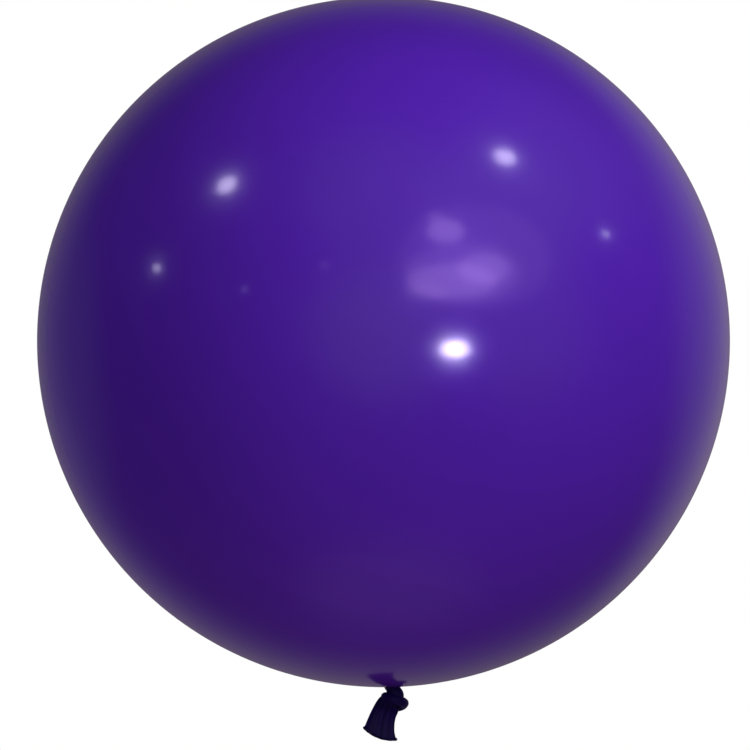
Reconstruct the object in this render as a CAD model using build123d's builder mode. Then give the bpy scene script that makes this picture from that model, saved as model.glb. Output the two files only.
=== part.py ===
"""Large round latex balloon, inflated and tied off with an overhand knot.

The origin is the middle of the tie groove on the neck. +Z points up through the middle of
the balloon, X runs along the flattened tail and Y across it. All lengths are in millimetres.
"""

from build123d import *
from math import asin, cos, degrees, radians, sin, sqrt
import os

os.makedirs("parts", exist_ok=True)

# Inflated skin. The wall stands in for latex that is a few hundredths of a millimetre thick.
skin_radius = 450.0
crown_height = 446.5  # the upper half is a little flatter than the lower one
skin_wall = 1.0
pole_z = 3.0  # underside of the balloon, above the tie groove
collar_radius = 8.6
collar_z = 1.9
collar_fillet = 0.8
skin_centre_z = pole_z + skin_radius
quarter_arc = 0.5523  # handle length that makes a Bezier curve a quarter of an ellipse

# Neck: stem through the collar, with a head inside the skin and a ball end in the knot.
stem_radius = 5.8
throat_radius = stem_radius + 0.4
head_radius = 9.3
head_z = 4.5
head_height = 2.4
head_fillet = 0.8

# Overhand knot in one round strand, in its own frame, which is centred and tilted as a whole.
strand_radius = 4.4
corner_share = 0.49  # of the shorter run, taken up by a rounded corner
knot_centre = (1.0, 0.0, -15.8)
knot_tilt = 12.0

# Tail: leaves the knot at a slant and flares towards the mouth.
tail_slant = 20.0
bead_centre_z = -13.6  # middle of the arc the rolled bead lies on
bead_arc_radius = 51.0
bead_arc_angle = 19.5  # half of the arc
bead_radius = 2.0
mouth_half_depth = 4.5
tail_wall = 1.0
root_distance = 18.2
root_radius = 5.0

tail_down = Vector(-sin(radians(tail_slant)), 0, -cos(radians(tail_slant)))
tail_side = Vector(cos(radians(tail_slant)), 0, -sin(radians(tail_slant)))
bead_centre = Vector(0, 0, bead_centre_z)


def skin_profile(inset, hole):
    """Half outline of the skin, from the edge of a hole at the bottom pole to the crown."""
    radius, height = skin_radius - inset, crown_height - inset
    start = degrees(asin(hole / radius))
    CenterArc((0, skin_centre_z), radius, start - 90, 90 - start)
    Bezier(
        (radius, skin_centre_z),
        (radius, skin_centre_z + quarter_arc * height),
        (quarter_arc * radius, skin_centre_z + height),
        (0, skin_centre_z + height),
    )


def skin_height(inset, radius):
    """Height of the skin near its bottom pole, at a distance from the axis."""
    return skin_centre_z - sqrt((skin_radius - inset) ** 2 - radius**2)


with BuildPart() as envelope:
    with BuildSketch(Plane.XZ):
        with BuildLine():
            skin_profile(0, collar_radius)
            skin_profile(skin_wall, throat_radius)
            crown = skin_centre_z + crown_height
            Line((0, crown), (0, crown - skin_wall))
            Polyline(
                (collar_radius, skin_height(0, collar_radius)),
                (collar_radius, collar_z),
                (throat_radius, collar_z),
                (throat_radius, skin_height(skin_wall, throat_radius)),
            )
        make_face()
        collar_root = (collar_radius, skin_height(0, collar_radius), 0)
        fillet(vertices().sort_by_distance(collar_root)[0], collar_fillet)
    revolve(axis=Axis.Z)

with BuildPart() as neck:
    with BuildSketch(Plane.XZ):
        with BuildLine():
            CenterArc((0, 0), stem_radius, -90, 90)
            Polyline(
                (stem_radius, 0),
                (stem_radius, head_z),
                (head_radius, head_z),
                (head_radius, head_z + head_height),
                (0, head_z + head_height),
                (0, -stem_radius),
            )
        make_face()
        fillet(vertices().sort_by_distance((stem_radius, head_z, 0))[0], head_fillet / 2)
        fillet(vertices().group_by(Axis.X)[-1], head_fillet)
    revolve(axis=Axis.Z)

def rounded_route(points):
    """Straight runs between points, each corner rounded by as wide an arc as its runs allow."""
    points = [Vector(point) for point in points]
    at = points[0]
    for before, corner, after in zip(points, points[1:], points[2:]):
        back, ahead = before - corner, after - corner
        reach = corner_share * min(back.length, ahead.length)
        back, ahead = back.normalized(), ahead.normalized()
        half = radians(back.get_angle(ahead)) / 2
        middle = corner + (back + ahead).normalized() * reach * (1 - sin(half)) / cos(half)
        Line(at, corner + back * reach)
        at = corner + ahead * reach
        ThreePointArc(corner + back * reach, middle, at)
    Line(at, points[-1])


with BuildPart() as strand:
    with BuildLine() as route:
        rounded_route(
            [
                (-2.3, -3, 9.0),  # starts under the neck's ball end
                (-2.7, -3.4, 4.4),
                (-6.4, -3.4, -0.4),  # turns behind the front band
                (-9.8, 2.6, -5.6),
                (-5, 9.6, -9.2),  # lower loop, round the back
                (5.6, 12.4, -9.9),
                (14.4, 8.6, -7),
                (16.8, 0.5, -3.4),  # right-hand turn
                (11.8, -6.8, 0),  # front band, rising to the left
                (5.2, -12.8, 3.4),
                (-3.8, -14.8, 6.8),
                (-12.3, -10, 8.9),
                (-14.7, -0.5, 8.4),  # upper loop, round the back of the neck
                (-9, 6.6, 5.4),
                (-0.6, 7.6, 0.8),  # tucks down through the lower loop
                (3.8, 3.2, -5.2),
                (3.8, -0.3, -9.9),  # ends above the tail
            ]
        )
    with BuildSketch(Plane(origin=route.line @ 0, z_dir=route.line % 0)):
        Circle(strand_radius)
    sweep()

with BuildPart() as knot:
    with Locations(Location(knot_centre, (0, knot_tilt, 0))):
        add(strand.part)

# Each row: distance down the tail, left edge, right edge, depth.
sleeve_sections = (
    (root_distance, -19.5, 11.5, 2 * root_radius),
    (26, -21.0, 12.9, 10.4),
    (42, -22.5, 18.0, 10.2),
    (53, -23.0, 22.5, 10.0),
)


def tail_plane(distance, side):
    """Plane across the tail, some way down it and off to one side."""
    origin = bead_centre + tail_down * distance + tail_side * side
    return Plane(origin, x_dir=tail_side, z_dir=tail_down)


with BuildPart() as tail_hollow:
    for distance, left, right, depth in sleeve_sections[1:]:
        with BuildSketch(tail_plane(distance, (left + right) / 2)):
            SlotOverall(right - left - 2 * tail_wall, depth - 2 * tail_wall)
    loft()

with BuildPart() as tail:
    for distance, left, right, depth in sleeve_sections:
        with BuildSketch(tail_plane(distance, (left + right) / 2)):
            SlotOverall(right - left, depth)
    loft()
    root_left = tail_plane(root_distance, sleeve_sections[0][1] + root_radius).origin
    root_right = tail_plane(root_distance, sleeve_sections[0][2] - root_radius).origin
    with Locations(Plane((root_left + root_right) / 2, z_dir=tail_side)):
        Cylinder(root_radius, (root_right - root_left).length)
    with Locations(root_left, root_right):
        Sphere(root_radius)
    with Locations(Plane(bead_centre, z_dir=(0, 1, 0))):
        Cylinder(bead_arc_radius - bead_radius - 0.02, 60, mode=Mode.INTERSECT)
    add(tail_hollow.part, mode=Mode.SUBTRACT)


def bead_point(angle, depth, outward=0):
    """Point on the bead's centre line, or beside it along the arc."""
    along = tail_down * cos(radians(angle)) + tail_side * sin(radians(angle))
    across = tail_side * cos(radians(angle)) - tail_down * sin(radians(angle))
    return bead_centre + along * bead_arc_radius + across * outward + Vector(0, depth, 0)


with BuildPart() as rolled_rim:
    with BuildLine() as bead:
        for side in (-1, 1):
            depth, end = side * mouth_half_depth, side * bead_arc_angle
            ThreePointArc(bead_point(-end, depth), bead_point(0, depth), bead_point(end, depth))
            ThreePointArc(
                bead_point(end, depth),
                bead_point(end, 0, side * mouth_half_depth),
                bead_point(end, -depth),
            )
    with BuildSketch(Plane(origin=bead.line @ 0, z_dir=bead.line % 0)):
        Circle(bead_radius)
    sweep()

pieces = {
    "envelope": envelope,
    "neck": neck,
    "knot": knot,
    "tail": tail,
    "rolled_rim": rolled_rim,
}
for name, piece in pieces.items():
    piece.part.label = name
    export_step(piece.part, f"parts/{name}.step")
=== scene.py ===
"""Large round latex balloon tied with an overhand knot: visual model and studio.

Everything is in metres, in the CAD frame: the origin is the tie groove on the neck, +Z points up
through the middle of the balloon and the camera looks along +Y.
"""

import math

import bpy
import numpy as np
from mathutils import Matrix, Vector


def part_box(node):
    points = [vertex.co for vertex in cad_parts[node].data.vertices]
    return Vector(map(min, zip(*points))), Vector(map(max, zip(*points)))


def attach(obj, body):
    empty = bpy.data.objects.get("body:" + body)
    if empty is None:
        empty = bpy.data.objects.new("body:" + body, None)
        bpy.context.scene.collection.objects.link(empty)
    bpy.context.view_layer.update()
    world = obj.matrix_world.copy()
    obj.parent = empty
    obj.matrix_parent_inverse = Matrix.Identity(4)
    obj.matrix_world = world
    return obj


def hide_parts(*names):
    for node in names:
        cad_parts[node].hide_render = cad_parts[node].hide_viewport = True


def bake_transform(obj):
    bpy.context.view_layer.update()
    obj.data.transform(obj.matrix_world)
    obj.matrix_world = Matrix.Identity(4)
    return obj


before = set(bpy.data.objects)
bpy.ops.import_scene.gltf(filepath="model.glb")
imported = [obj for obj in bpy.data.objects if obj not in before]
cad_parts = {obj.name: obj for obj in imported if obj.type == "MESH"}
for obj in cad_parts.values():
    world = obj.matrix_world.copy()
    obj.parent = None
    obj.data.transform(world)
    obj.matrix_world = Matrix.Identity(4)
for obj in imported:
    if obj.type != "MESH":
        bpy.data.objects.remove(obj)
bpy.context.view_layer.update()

MM = 0.001
skin_low, skin_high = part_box("envelope")
skin_radius = (skin_high.x - skin_low.x) / 2
pole_z = 3 * MM
skin_centre = Vector((0, 0, pole_z + skin_radius))
crown_height = skin_high.z - skin_centre.z

# Tail: the rolled rim lies on an arc about bead_centre, and the tail slants down to the left.
bead_centre = np.array([-0.4, 0, -13.6]) * MM
tail_slant = math.radians(21.5)
tail_down = np.array([-math.sin(tail_slant), 0, -math.cos(tail_slant)])
tail_side = np.array([math.cos(tail_slant), 0, -math.sin(tail_slant)])
depth_axis = np.array([0, 1, 0])

knot_centre = np.array([0.6, 0, -15.8]) * MM
knot_tilt = math.radians(13.5)


# ---------------------------------------------------------------- mesh helpers


def smoothstep(value, low, high):
    t = np.clip((value - low) / (high - low), 0, 1)
    return t * t * (3 - 2 * t)


def smooth_table(rows, keys, width):
    """Columns of a table read at keys, with its corners rounded over a width."""
    rows = np.array(rows, float)
    spread = np.linspace(-1, 1, 9) * width
    weight = np.cos(spread / width * math.pi / 2) + 0.05
    read = [
        sum(np.interp(keys + d, rows[:, 0], rows[:, k]) * w for d, w in zip(spread, weight))
        for k in range(1, rows.shape[1])
    ]
    return [column / weight.sum() for column in read]


def piece_from_grid(name, grid, material, thickness_and_shade=None, ring=False):
    """Closed mesh from rows of points whose columns wrap. A ring's rows wrap too, others are capped."""
    rows, columns, _ = grid.shape
    index = np.arange(rows * columns).reshape(rows, columns)
    below = np.roll(index, -1, axis=0) if ring else index[1:]
    above = index if ring else index[:-1]
    quads = np.stack(
        [above, np.roll(above, -1, axis=1), np.roll(below, -1, axis=1), below], axis=-1
    ).reshape(-1, 4)
    points = grid.reshape(-1, 3)
    faces = quads.tolist()
    if not ring:
        first, last = len(points), len(points) + 1
        points = np.vstack([points, grid[0].mean(0), grid[-1].mean(0)])
        following = np.roll(np.arange(columns), -1)
        faces += [(first, int(index[0, b]), int(index[0, a])) for a, b in enumerate(following)]
        faces += [(last, int(index[-1, a]), int(index[-1, b])) for a, b in enumerate(following)]
    mesh = bpy.data.meshes.new(name)
    mesh.from_pydata(points.tolist(), [], faces)
    mesh.shade_smooth()
    mesh.materials.append(material)
    if thickness_and_shade is not None:
        values = thickness_and_shade.reshape(-1)
        if not ring:
            values = np.append(values, [thickness_and_shade[0].mean(), thickness_and_shade[-1].mean()])
        attribute = mesh.attributes.new("thickness_and_shade", "FLOAT", "POINT")
        attribute.data.foreach_set("value", values.astype(np.float32))
    obj = bpy.data.objects.new(name, mesh)
    bpy.context.scene.collection.objects.link(obj)
    return obj


def carried_frames(path, closed=False):
    """Tangents and two cross axes carried along a path without twisting."""
    if closed:
        tangents = np.roll(path, -1, axis=0) - np.roll(path, 1, axis=0)
    else:
        tangents = np.gradient(path, axis=0)
    tangents /= np.linalg.norm(tangents, axis=1, keepdims=True)
    start = np.cross(tangents[0], depth_axis + 0.01)
    axes = [start / np.linalg.norm(start)]
    for tangent in tangents[1:]:
        axis = axes[-1] - tangent * (axes[-1] @ tangent)
        axes.append(axis / np.linalg.norm(axis))
    axes = np.array(axes)
    return tangents, axes, np.cross(tangents, axes)


def resampled(points, step):
    """The same line with points an even step apart."""
    points = np.array(points, float)
    along = np.append(0, np.cumsum(np.linalg.norm(np.diff(points, axis=0), axis=1)))
    keys = np.linspace(0, along[-1], max(3, round(along[-1] / step)))
    return np.stack([np.interp(keys, along, points[:, k]) for k in range(3)], axis=1)


def rounded(corners, per_corner=24):
    """Quadratic B-spline through the middles of the runs between corners."""
    corners = np.array(corners, float)
    t = np.linspace(0, 1, per_corner, endpoint=False)[:, None]
    middles = (corners[1:] + corners[:-1]) / 2
    out = [corners[:1]]
    for start, corner, end in zip(middles[:-1], corners[1:-1], middles[1:]):
        out.append((1 - t) ** 2 * start + 2 * t * (1 - t) * corner + t**2 * end)
    return np.vstack(out + [middles[-1:], corners[-1:]])


# ------------------------------------------------------------------- materials


def latex(name, thin, thick_and_shaded, roughness, gloss, coat, coat_roughness):
    """Glossy dyed latex, darker where it is thick and where shade is painted into creases, with faint
    clouding and ripples.
    """
    material = bpy.data.materials.new(name)
    material.use_nodes = True
    nodes, links = material.node_tree.nodes, material.node_tree.links
    shader = nodes["Principled BSDF"]
    place = nodes.new("ShaderNodeTexCoord")
    layer = nodes.new("ShaderNodeAttribute")
    layer.attribute_name = "thickness_and_shade"

    clouds = nodes.new("ShaderNodeTexNoise")
    clouds.inputs["Scale"].default_value = 5
    clouds.inputs["Detail"].default_value = 4
    links.new(place.outputs["Object"], clouds.inputs["Vector"])
    speckle = nodes.new("ShaderNodeTexNoise")
    speckle.inputs["Scale"].default_value = 900
    speckle.inputs["Detail"].default_value = 3
    links.new(place.outputs["Object"], speckle.inputs["Vector"])

    depth = nodes.new("ShaderNodeMath")
    depth.operation = "MULTIPLY_ADD"
    links.new(clouds.outputs["Fac"], depth.inputs[0])
    depth.inputs[1].default_value = 0.16
    links.new(layer.outputs["Fac"], depth.inputs[2])
    # The colour darkens with the latex's thickness and with shade painted into the creases of the knot
    # and stem.
    colour = nodes.new("ShaderNodeMix")
    colour.data_type = "RGBA"
    links.new(depth.outputs["Value"], colour.inputs["Factor"])
    colour.inputs["A"].default_value = (*thin, 1)
    colour.inputs["B"].default_value = (*thick_and_shaded, 1)
    links.new(colour.outputs["Result"], shader.inputs["Base Color"])

    rough = nodes.new("ShaderNodeMapRange")
    rough.inputs["To Min"].default_value = roughness * 0.85
    rough.inputs["To Max"].default_value = roughness * 1.2
    links.new(speckle.outputs["Fac"], rough.inputs["Value"])
    links.new(rough.outputs["Result"], shader.inputs["Roughness"])

    ripple = nodes.new("ShaderNodeBump")
    ripple.inputs["Strength"].default_value = 0.12
    ripple.inputs["Distance"].default_value = 0.002
    links.new(clouds.outputs["Fac"], ripple.inputs["Height"])
    grain = nodes.new("ShaderNodeBump")
    grain.inputs["Strength"].default_value = 0.1
    grain.inputs["Distance"].default_value = 0.00004
    links.new(speckle.outputs["Fac"], grain.inputs["Height"])
    links.new(ripple.outputs["Normal"], grain.inputs["Normal"])
    links.new(grain.outputs["Normal"], shader.inputs["Normal"])

    shader.inputs["Specular IOR Level"].default_value = gloss
    shader.inputs["Coat Weight"].default_value = coat
    shader.inputs["Coat Roughness"].default_value = coat_roughness
    shader.inputs["Coat IOR"].default_value = 1.5
    return material


stretched = latex("stretched_latex", (0.130, 0.0225, 0.66), (0.022, 0.006, 0.11), 0.2, 0.45, 0.7, 0.1)
gathered = latex("gathered_latex", (0.024, 0.007, 0.15), (0.006, 0.003, 0.036), 0.36, 0.16, 0.07, 0.2)


# --------------------------------------------------------------- inflated skin

collar_radius = 9.3 * MM
collar_fillet = 2.5 * MM
pucker_reach = 48 * MM
crown_rise = 0.9 * MM
skin_columns = 420
coarse_rings, fine_rings, fillet_rings = 170, 60, 12
# Radius and height of the rings that close the collar inside the stem, in millimetres.
collar_closing = [(9.0, 0.0), (8.4, -0.6), (7.4, -1.0), (6.2, -1.2), (4.5, -1.2), (2, -1.2)]


def puckers(angle):
    """Uneven gathers round the neck, from -1 to 1, with narrow valleys."""
    wave = (
        np.cos(13 * angle + 0.6 * np.sin(2 * angle + 1) + 0.4)
        + 0.6 * np.cos(21 * angle + 0.9 * np.sin(3 * angle) + 2)
        + 0.5 * np.cos(8 * angle + 4.1)
    )
    return np.tanh(wave * 0.9)


def skin_profile(junction):
    """Radius and height of each ring from the crown to inside the stem, and how many are far from it."""
    lowest = math.pi - math.asin(junction / skin_radius)
    first_ring, last_coarse, first_fine = 0.004, math.pi - 0.16, math.pi - 0.155
    coarse = np.linspace(first_ring, last_coarse, coarse_rings)
    fine = np.linspace(first_fine, lowest, fine_rings)[:-1]
    polar = np.concatenate([coarse, fine])
    height = np.where(polar < math.pi / 2, crown_height, skin_radius)
    radius, z = skin_radius * np.sin(polar), skin_centre.z + height * np.cos(polar)
    turn = np.linspace(0, math.pi / 2, fillet_rings)
    junction_z = skin_centre.z - math.sqrt(skin_radius**2 - junction**2)
    radius = np.append(radius, junction - collar_fillet * np.sin(turn))
    z = np.append(z, junction_z - collar_fillet * (1 - np.cos(turn)))
    closing = np.array(collar_closing)
    radius = np.append(radius, closing[:, 0] * MM)
    z = np.append(z, closing[:, 1] * MM)
    return radius, z, len(polar) // 2


def build_skin():
    angle = np.linspace(0, 2 * math.pi, skin_columns, endpoint=False)
    junction = collar_radius + collar_fillet
    radius, z, far_rings = skin_profile(junction)
    near = 1 - smoothstep(radius, collar_radius * 0.9, pucker_reach)
    near[:far_rings] = 0
    amount = 0.12 * MM * near**4 + 0.3 * MM * near**16
    sideways = smoothstep(-radius, -(junction + 1 * MM), -collar_radius)
    wave = puckers(angle)[None, :]
    swell = amount[:, None] * wave
    outward = radius[:, None] + swell * sideways[:, None] * 1.2
    height = z[:, None] + swell * (1 - sideways)[:, None] * 0.5
    rings = [outward * np.cos(angle), outward * np.sin(angle), height + 0 * outward]
    grid = np.stack(rings, axis=-1)

    crown = 1 - smoothstep(radius, 4 * MM, 26 * MM)
    crown[far_rings:] = 0
    grid[..., 2] += (crown * crown_rise)[:, None]
    thickness_and_shade = (0.55 * near**4 + 0.4 * near**14)[:, None] * (1 - 0.12 * wave)
    thickness_and_shade = thickness_and_shade + (0.5 * crown)[:, None]
    return piece_from_grid("envelope_skin", grid, stretched, np.clip(thickness_and_shade, 0, 1))


skin = build_skin()
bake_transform(skin)
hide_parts("envelope")


# ------------------------------------------------------------ neck and knot

# Corners of the knotted strand in the knot's own frame, and steps along each path, in millimetres.
knot_corners = [
    (-2.3, -3, 9.0),
    (-2.7, -3.4, 4.4),
    (-6.4, -3.4, -0.4),
    (-9.8, 2.6, -5.2),
    (-5, 9.6, -8),
    (5.4, 12.2, -6.4),
    (12.4, 8.6, -3),
    (14.8, 0.5, 1),
    (11, -7, 2.2),
    (5.2, -12.6, 2.8),
    (-2.6, -14.4, 4.2),
    (-10, -10.2, 4.4),
    (-11.6, -1, 3.4),
    (-8, 7, 3),
    (-0.6, 8, 0.4),
    (3.8, 3.2, -5.2),
    (3.8, -0.3, -10.4),
]
strand_radius = 6.2 * MM
strand_columns = 96
knot_step = 0.5
stem_step = 0.35
rim_step = 0.4


def from_knot_frame(points):
    cosine, sine = math.cos(knot_tilt), math.sin(knot_tilt)
    turn = np.array([[cosine, 0, sine], [0, 1, 0], [-sine, 0, cosine]])
    return np.array(points, float) * MM @ turn.T + knot_centre


def pressed_radius(path, full, axes, others):
    """Radius round each point of a strand, flattened where it presses on the strand again."""
    angle = np.linspace(0, 2 * math.pi, strand_columns, endpoint=False)
    ray = (
        axes[:, None] * np.cos(angle)[None, :, None]
        + others[:, None] * np.sin(angle)[None, :, None]
    )
    step = np.linalg.norm(path[1] - path[0])
    apart = round(15 * MM / step)  # points nearer than this along the strand don't press
    least_facing = 0.12
    contact_reach = 2.3  # in strand radii, from middle to middle
    contact_gap = 0.06 * MM
    crowding = np.zeros((len(path), strand_columns))
    limit = full[:, None] + np.zeros((1, strand_columns))
    for i, point in enumerate(path):
        gap = path - point
        distance = np.linalg.norm(gap, axis=1)
        near = (np.abs(np.arange(len(path)) - i) > apart) & (distance < contact_reach * full[i])
        if not near.any():
            continue
        facing = ray[i] @ (gap[near] / distance[near, None]).T
        half_gap = distance[near] / 2 / np.maximum(facing, least_facing)
        reach = np.where(facing > least_facing, half_gap, 1)
        limit[i] = np.minimum(limit[i], reach.min(axis=1) - contact_gap)
        crowding[i] = 1 - limit[i] / full[i]
    sharp = 7
    softened = (full[:, None] ** -sharp + limit**-sharp) ** (-1 / sharp) * 2 ** (1 / sharp)
    return np.minimum(softened, limit), np.clip(crowding * 4, 0, 1), angle


def pleats(angle, along, seed):
    """Lengthwise folds of gathered latex round a strand, from -1 to 0."""
    drift = 0.5 * np.sin(along / (9 * MM) + seed) + 0.9 * np.sin(along / (23 * MM) + 2 * seed)
    wave = (
        np.cos(6 * angle + drift + seed)
        + 0.8 * np.cos(9 * angle - 1.4 * drift + 3 * seed)
        + 0.4 * np.cos(15 * angle + 2 * drift)
    )
    strength = 0.65 + 0.35 * np.sin(along / (6 * MM) + 3 * np.sin(angle) + seed)
    return (np.sqrt(np.abs(np.tanh(wave))) - 1) * strength


def build_knot():
    path = resampled(from_knot_frame(rounded(knot_corners)), knot_step * MM)
    tangents, axes, others = carried_frames(path)
    along = np.arange(len(path)) * knot_step * MM
    ends = smoothstep(along, 0, 4 * MM) * smoothstep(along[-1] - along, 0, 3 * MM)
    swell = 1 + 0.06 * np.sin(along / (8 * MM) + 1) + 0.04 * np.sin(along / (4.7 * MM))
    full = strand_radius * (0.78 + 0.22 * ends) * swell
    radius, crowding, angle = pressed_radius(path, full, axes, others)
    # Wrinkles across the strand on the inside of its bends.
    bend = np.gradient(tangents, axis=0) / (knot_step * MM)
    ray = axes[:, None] * np.cos(angle)[:, None] + others[:, None] * np.sin(angle)[:, None]
    inside = np.clip(np.einsum("ijk,ik->ij", ray, bend) * strand_radius, 0, 1)
    wrinkle = np.sin(along / (0.42 * MM) + 1.7 * np.sin(along / (3.1 * MM)))[:, None] * inside
    folds = pleats(angle[None, :], along[:, None], 1.3)
    radius = radius + folds * 0.85 * MM * (1 - 0.4 * crowding) + wrinkle * 0.15 * MM
    grid = path[:, None] + ray * radius[..., None]
    # Painted shade: darker in the pleat grooves and where the strand presses on itself, over the
    # gathered latex's own thickness.
    thickness_and_shade = np.clip(0.5 - 0.35 * folds + 0.2 * crowding, 0, 1)
    return piece_from_grid("overhand_knot", grid, gathered, thickness_and_shade)


knot = build_knot()
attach(knot, "knot")
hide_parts("knot")


stem_corners = [(0, 0, 3.4), (0.4, 0, 0), (2.4, 0, -4), (6, 0.4, -9), (3.5, 0.5, -16), (-1, 0, -20)]
# Distance along the stem and its radius there, in millimetres.
stem_table = [(0, 8.4), (3, 8.8), (6, 10.0), (10, 10.4), (14, 9.6), (20, 6.5), (26, 3)]


def build_stem():
    path = resampled(rounded(np.array(stem_corners) * MM), stem_step * MM)
    _, axes, others = carried_frames(path)
    along = np.arange(len(path)) * stem_step * MM
    angle = np.linspace(0, 2 * math.pi, strand_columns, endpoint=False)
    (radius,) = smooth_table(stem_table, along / MM, 1.5)
    folds = pleats(angle[None, :], along[:, None], 0.7)
    size = radius[:, None] * MM + folds * 0.8 * MM
    ray = axes[:, None] * np.cos(angle)[:, None] + others[:, None] * np.sin(angle)[:, None]
    # Painted shade: darker in the grooves of the pleats, over the gathered latex's own thickness.
    return piece_from_grid(
        "neck_stem", path[:, None] + ray * size[..., None], gathered, 0.45 - 0.4 * folds
    )


stem = build_stem()
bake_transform(stem)
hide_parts("neck")


# ------------------------------------------------------------------------ tail

# Distance down the tail, left edge, right edge, half depth, middle in depth, all in millimetres.
sleeve_table = [
    (-5, -10, 1, 2.6, -4.5),
    (-2, -14, 4, 3.0, -4.5),
    (2, -16.6, 7, 3.4, -4.5),
    (6, -18.0, 10.5, 3.7, -4),
    (10, -19.0, 12.2, 4.0, -2.8),
    (14, -19.7, 12.4, 4.2, -1.2),
    (20, -20.5, 11.9, 4.4, 0),
    (27, -21.2, 12.9, 4.3, 0),
    (38, -21.8, 16.4, 4.2, 0),
    (44, -22.0, 19.4, 4.4, 0),
    (51, -22.4, 22.2, 4.6, 0),
]
# Distance down the tail and depth of the folds there, in millimetres.
fold_table = [(1, 1.3), (12, 1.2), (26, 0.8), (44, 0.4), (51, 0.2)]
sleeve_start = -5
sleeve_end = 51
lining_start = 20
sleeve_wall = 0.7
thick_root_end = 16
sleeve_columns = 220
mouth_flatness = 2.5
bead_radius = 2.05 * MM


def sleeve_rows(distances, inset):
    """Cross-sections of the sleeve, drawn in by an inset, in millimetres before placing."""
    left, right, half_depth, middle = smooth_table(sleeve_table, distances, 2.5)
    turn = np.linspace(0, 2 * math.pi, sleeve_columns, endpoint=False)
    cosine, sine = np.cos(turn), np.sin(turn)
    wide = np.sign(cosine) * np.abs(cosine) ** (2 / mouth_flatness)
    deep = np.sign(sine) * np.abs(sine) ** (2 / mouth_flatness)
    side = np.sign(sine)
    half_width = (right - left) / 2 - inset
    lateral = (left + right)[:, None] / 2 + half_width[:, None] * wide
    across = wide[None, :] + 0 * lateral
    row = distances[:, None]
    # Folds run down the tail, deep where it leaves the knot and shallow at the mouth.
    fold_depth = np.interp(distances, *zip(*fold_table))[:, None]
    sway = 0.5 * np.sin(row / 11 + 1) + 0.25 * np.sin(row / 5.3)
    folds = (
        np.cos(15 * across + 1.1 + sway)
        + 0.55 * np.cos(24 * across + 0.3 - 1.3 * sway)
        + 0.45 * np.cos(8 * across + 2.2)
    ) * (0.65 + 0.35 * across)
    face_folds = 0.35 * np.cos(19 * across * side + 2 * sway + 1.7 * side)
    edge = np.abs(sine)[None, :] ** 0.7
    sag = -0.5 * np.exp(-(((across - 0.1) / 0.5) ** 2)) * side * smoothstep(row, 12, 30)
    depth = (
        middle[:, None]
        + (half_depth[:, None] - inset) * deep
        + fold_depth * edge * (folds + face_folds * side) * 0.55
        + sag * edge
    )
    # Towards the mouth the rows bend into arcs about the bead's centre.
    arc = sleeve_end - np.sqrt(np.maximum(sleeve_end**2 - lateral**2, 0))
    down = row - arc * (row / sleeve_end) ** 5
    return lateral, depth, down, folds


def placed(lateral, depth, down):
    return (
        bead_centre
        + lateral[..., None] * MM * tail_side
        + depth[..., None] * MM * depth_axis
        + down[..., None] * MM * tail_down
    )


def build_sleeve():
    outward = np.linspace(sleeve_start, sleeve_end, 160)
    inward = np.linspace(sleeve_end, lining_start, 60)
    outer, inner = sleeve_rows(outward, 0), sleeve_rows(inward, sleeve_wall)
    lateral, depth, down, folds = (np.vstack(pair) for pair in zip(outer, inner))
    thickness_and_shade = np.clip(0.45 - 0.16 * folds + 0.25 * (down < thick_root_end), 0, 1)
    return piece_from_grid("tail_sleeve", placed(lateral, depth, down), gathered, thickness_and_shade)


sleeve = build_sleeve()
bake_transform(sleeve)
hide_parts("tail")


def build_rim():
    """Rolled bead that follows the sleeve's mouth, with the edges of its turns showing."""
    lateral, depth, down, _ = sleeve_rows(np.array([sleeve_end]), sleeve_wall / 2)
    mouth = placed(lateral, depth, down)[0]
    path = resampled(np.vstack([mouth, mouth[:1]]), rim_step * MM)[:-1]
    for _ in range(6):
        path = (np.roll(path, 1, axis=0) + 2 * path + np.roll(path, -1, axis=0)) / 4
    _, axes, others = carried_frames(path, closed=True)
    along = np.linspace(0, 2 * math.pi, len(path), endpoint=False)
    angle = np.linspace(0, 2 * math.pi, 40, endpoint=False)
    # The cross axes close with a small turn, which the coil of the roll takes up.
    close = math.atan2(axes[0] @ others[-1], axes[0] @ axes[-1])
    angle = angle[None, :] + (along * close / (2 * math.pi))[:, None]
    coil = np.cos(3 * angle + 2 * along[:, None] + 0.6 * np.sin(5 * along)[:, None])
    lumps = 0.05 * np.sin(9 * along + 1) + 0.04 * np.sin(23 * along) + 0.03 * np.sin(41 * along + 2)
    size = bead_radius * (1 + lumps[:, None]) - 0.16 * MM * np.abs(coil) ** 0.5
    ray = (
        axes[:, None] * np.cos(angle)[..., None] + others[:, None] * np.sin(angle)[..., None]
    )
    thickness_and_shade = 0.7 + 0.2 * coil
    return piece_from_grid(
        "rolled_bead", path[:, None] + ray * size[..., None], gathered, thickness_and_shade, ring=True
    )


rim = build_rim()
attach(rim, "tail")
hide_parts("rolled_rim")


# ---------------------------------------------------------------------- studio

camera_distance = 5.0
camera_height = math.radians(-4)
camera_roll = math.radians(-1.47)
sensor = 36  # millimetres
disc_share = 0.462  # the balloon's radius as a share of the picture's width
picture_shift = (-0.0113, -0.0457)  # the balloon stands a little right of and above the middle

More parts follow.
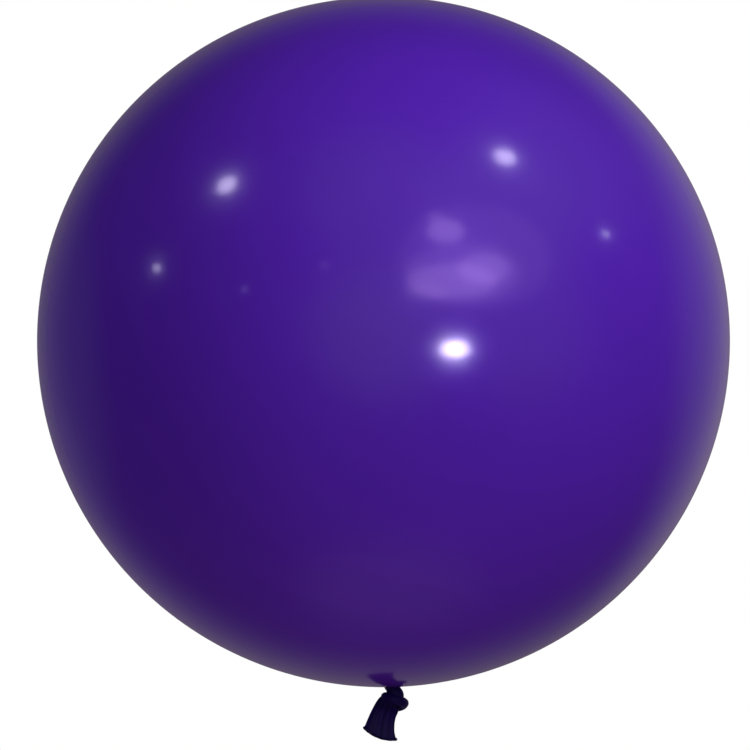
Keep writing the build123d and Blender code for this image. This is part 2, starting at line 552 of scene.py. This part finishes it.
half_angle = math.asin(skin_radius / camera_distance)
camera_data = bpy.data.cameras.new("camera")
camera_data.sensor_width = sensor
camera_data.lens = sensor * disc_share / math.tan(half_angle)
camera_data.shift_x, camera_data.shift_y = picture_shift
camera = bpy.data.objects.new("camera", camera_data)
bpy.context.scene.collection.objects.link(camera)
bpy.context.scene.camera = camera
back = Vector((0, -math.cos(camera_height), math.sin(camera_height)))
camera.location = skin_centre + back * camera_distance
turn = (-back).to_track_quat("-Z", "Y") @ Matrix.Rotation(camera_roll, 4, "Z").to_quaternion()
camera.rotation_mode = "QUATERNION"
camera.rotation_quaternion = turn
camera_right, camera_up = turn @ Vector((1, 0, 0)), turn @ Vector((0, 1, 0))


light_distance = 3.0
near_distance = 1.2
wash_distance = 4.0
wash_size = 3.0


def add_light(name, spot, size, power, colour, beam=None, distance=light_distance):
    """Soft light reflected at a spot on the balloon: right and up, as shares of the disc's radius."""
    share = math.hypot(*spot)
    lean = share
    for _ in range(8):  # the way the surface leans where the camera sees that spot
        nearness = camera_distance - skin_radius * math.sqrt(1 - lean * lean)
        lean = share * math.tan(half_angle) * nearness / skin_radius
    right, up = (part * lean / share for part in spot)
    normal = camera_right * right + camera_up * up + back * math.sqrt(1 - lean * lean)
    point = skin_centre + normal * skin_radius
    eye = (camera.location - point).normalized()
    toward = (2 * normal.dot(eye) * normal - eye).normalized()
    data = bpy.data.lights.new(name, "AREA")
    data.shape = "ELLIPSE"
    data.size, data.size_y = size
    data.energy = power
    if beam:  # the balloon's far edge is left out of a narrow beam, and its middle stays as bright
        data.spread = beam
        data.energy *= 1 - beam / 2 / math.tan(beam / 2)
    data.color = colour
    light = bpy.data.objects.new(name, data)
    light.location = point + toward * distance
    light.rotation_mode = "QUATERNION"
    light.rotation_quaternion = toward.to_track_quat("Z", "Y")
    light.visible_diffuse = False
    light.visible_camera = False
    bpy.context.scene.collection.objects.link(light)


# Name, spot, width and height, power: round lamps first, then the parts of a window's soft reflection.
lamp_specs = [
    ("lamp_left", (-0.4515, 0.455), (0.37, 0.30), 4.0),
    ("lamp_right", (0.350, 0.536), (0.38, 0.31), 4.6),
    ("lamp_far_left", (-0.654, 0.213), (0.16, 0.10), 0.55),
    ("lamp_far_right", (0.642, 0.311), (0.15, 0.08), 0.36),
    ("lamp_faint_left", (-0.40, 0.15), (0.09, 0.09), 0.05),
    ("lamp_faint_middle", (-0.17, 0.22), (0.09, 0.09), 0.04),
]
window_specs = [
    ("window_glow", (0.27, 0.25), (3.0, 1.9), 5.0),
    ("window_wide", (0.23, 0.20), (2.2, 1.1), 4.0),
    ("window_low", (0.20, 0.175), (1.66, 0.64), 5.0),
    ("window_low_right", (0.29, 0.21), (0.95, 0.55), 2.5),
    ("window_low_left", (0.12, 0.14), (0.80, 0.26), 0.5),
    ("window_high", (0.18, 0.32), (0.66, 0.44), 2.2),
    ("window_high_left", (0.15, 0.36), (0.28, 0.22), 0.22),
]
lamp_colour, window_colour = (0.82, 0.72, 1.0), (0.74, 0.47, 1.0)
lamp_beam = math.radians(16)
# The brightest lamp stands nearest, so that its beam misses the balloon's limb.
centre_spot, centre_size = (0.206, -0.024), (0.248, 0.133)
add_light("lamp_centre", centre_spot, centre_size, 4.7, lamp_colour, lamp_beam, near_distance)
for name, spot, size, power in lamp_specs:
    add_light(name, spot, size, power, lamp_colour, lamp_beam)
for name, spot, size, power in window_specs:
    add_light(name, spot, size, power, window_colour)


def add_wash(name, toward, power, colour=(1, 1, 1)):
    """Broad soft light that shapes the colour but leaves no reflection."""
    data = bpy.data.lights.new(name, "AREA")
    data.shape = "DISK"
    data.size = wash_size
    data.energy = power
    data.color = colour
    light = bpy.data.objects.new(name, data)
    toward = Vector(toward).normalized()
    light.location = skin_centre + toward * wash_distance
    light.rotation_mode = "QUATERNION"
    light.rotation_quaternion = toward.to_track_quat("Z", "Y")
    light.visible_glossy = False
    light.visible_camera = False
    bpy.context.scene.collection.objects.link(light)


add_wash("wash_front", (0, -1, 0), 33)
add_wash("wash_front_right", (1, -1, 0), 22)
add_wash("wash_front_high", (0, -1, 1), 26)
add_wash("wash_key", (1, -0.9, 1), 35)
add_wash("wash_right_high", (1, 0, 1), 25)
add_wash("wash_below", (0, 0, -1), 38, colour=(1.0, 0.66, 0.68))
add_wash("wash_back_left", (-0.8, 0.6, 0), 70)
add_wash("wash_back_right", (0.8, 0.6, 0), 25)


def room_glow(nodes, links, toward, edge, strength):
    """Soft patch of light on the room's walls, brightest towards a direction."""
    direction = nodes.new("ShaderNodeTexCoord")
    facing = nodes.new("ShaderNodeVectorMath")
    facing.operation = "DOT_PRODUCT"
    links.new(direction.outputs["Generated"], facing.inputs[0])
    facing.inputs[1].default_value = Vector(toward).normalized()
    glow = nodes.new("ShaderNodeMapRange")
    glow.interpolation_type = "SMOOTHSTEP"
    glow.inputs["From Min"].default_value = edge
    glow.inputs["To Max"].default_value = strength
    links.new(facing.outputs["Value"], glow.inputs["Value"])
    return glow.outputs["Result"]


# The balloon reflects a dim room, with a pale wall behind it, a paler corner to the right and a pale
# floor: direction, edge and strength of each. The camera sees white.
room_glows = [((0, 1, 0), 0.5, 0.124), ((0.8, 1, 0.1), 0.8, 0.14), ((0, 0, -1), 0, 0.018)]
room_base = 0.017
room_colour = (0.95, 0.78, 1.0)


def build_room():
    world = bpy.data.worlds.new("studio")
    bpy.context.scene.world = world
    world.use_nodes = True
    nodes, links = world.node_tree.nodes, world.node_tree.links
    nodes.clear()
    output = nodes.new("ShaderNodeOutputWorld")
    seen, room = nodes.new("ShaderNodeBackground"), nodes.new("ShaderNodeBackground")
    seen.inputs["Color"].default_value = (1, 1, 1, 1)
    seen.inputs["Strength"].default_value = 1.0
    room.inputs["Color"].default_value = (*room_colour, 1)
    choose = nodes.new("ShaderNodeMixShader")
    ray_kind = nodes.new("ShaderNodeLightPath")
    links.new(ray_kind.outputs["Is Camera Ray"], choose.inputs["Fac"])
    links.new(room.outputs["Background"], choose.inputs[1])
    links.new(seen.outputs["Background"], choose.inputs[2])
    links.new(choose.outputs["Shader"], output.inputs["Surface"])

    total = None
    for toward, edge, strength in room_glows:
        add = nodes.new("ShaderNodeMath")
        links.new(room_glow(nodes, links, toward, edge, strength), add.inputs[0])
        if total:
            links.new(total, add.inputs[1])
        else:
            add.inputs[1].default_value = room_base
        total = add.outputs["Value"]
    links.new(total, room.inputs["Strength"])
    world.cycles_visibility.diffuse = False


build_room()

floor_drop = 1.1
floor_half = 9.0


def pale_floor_material():
    """White to the camera, and clear from below so that a view from underneath isn't blocked."""
    material = bpy.data.materials.new("pale_floor")
    material.use_nodes = True
    nodes, links = material.node_tree.nodes, material.node_tree.links
    nodes.clear()
    output = nodes.new("ShaderNodeOutputMaterial")
    bright, dim = nodes.new("ShaderNodeEmission"), nodes.new("ShaderNodeBsdfDiffuse")
    bright.inputs["Color"].default_value = (1, 1, 1, 1)
    dim.inputs["Color"].default_value = (0.25, 0.24, 0.26, 1)
    clear = nodes.new("ShaderNodeBsdfTransparent")
    by_ray, by_side = nodes.new("ShaderNodeMixShader"), nodes.new("ShaderNodeMixShader")
    ray_kind, side = nodes.new("ShaderNodeLightPath"), nodes.new("ShaderNodeNewGeometry")
    links.new(ray_kind.outputs["Is Camera Ray"], by_ray.inputs["Fac"])
    links.new(dim.outputs["BSDF"], by_ray.inputs[1])
    links.new(bright.outputs["Emission"], by_ray.inputs[2])
    links.new(side.outputs["Backfacing"], by_side.inputs["Fac"])
    links.new(by_ray.outputs["Shader"], by_side.inputs[1])
    links.new(clear.outputs["BSDF"], by_side.inputs[2])
    links.new(by_side.outputs["Shader"], output.inputs["Surface"])
    return material


floor_mesh = bpy.data.meshes.new("floor")
floor_corners = [(-1, -1), (1, -1), (1, 1), (-1, 1)]
floor_points = [(x * floor_half, y * floor_half, -floor_drop) for x, y in floor_corners]
floor_mesh.from_pydata(floor_points, [], [(0, 1, 2, 3)])
floor_mesh.materials.append(pale_floor_material())
floor = bpy.data.objects.new("floor", floor_mesh)
bpy.context.scene.collection.objects.link(floor)
floor.visible_glossy = False
floor.visible_diffuse = False
floor.visible_shadow = False

bpy.context.scene.view_settings.view_transform = "Standard"
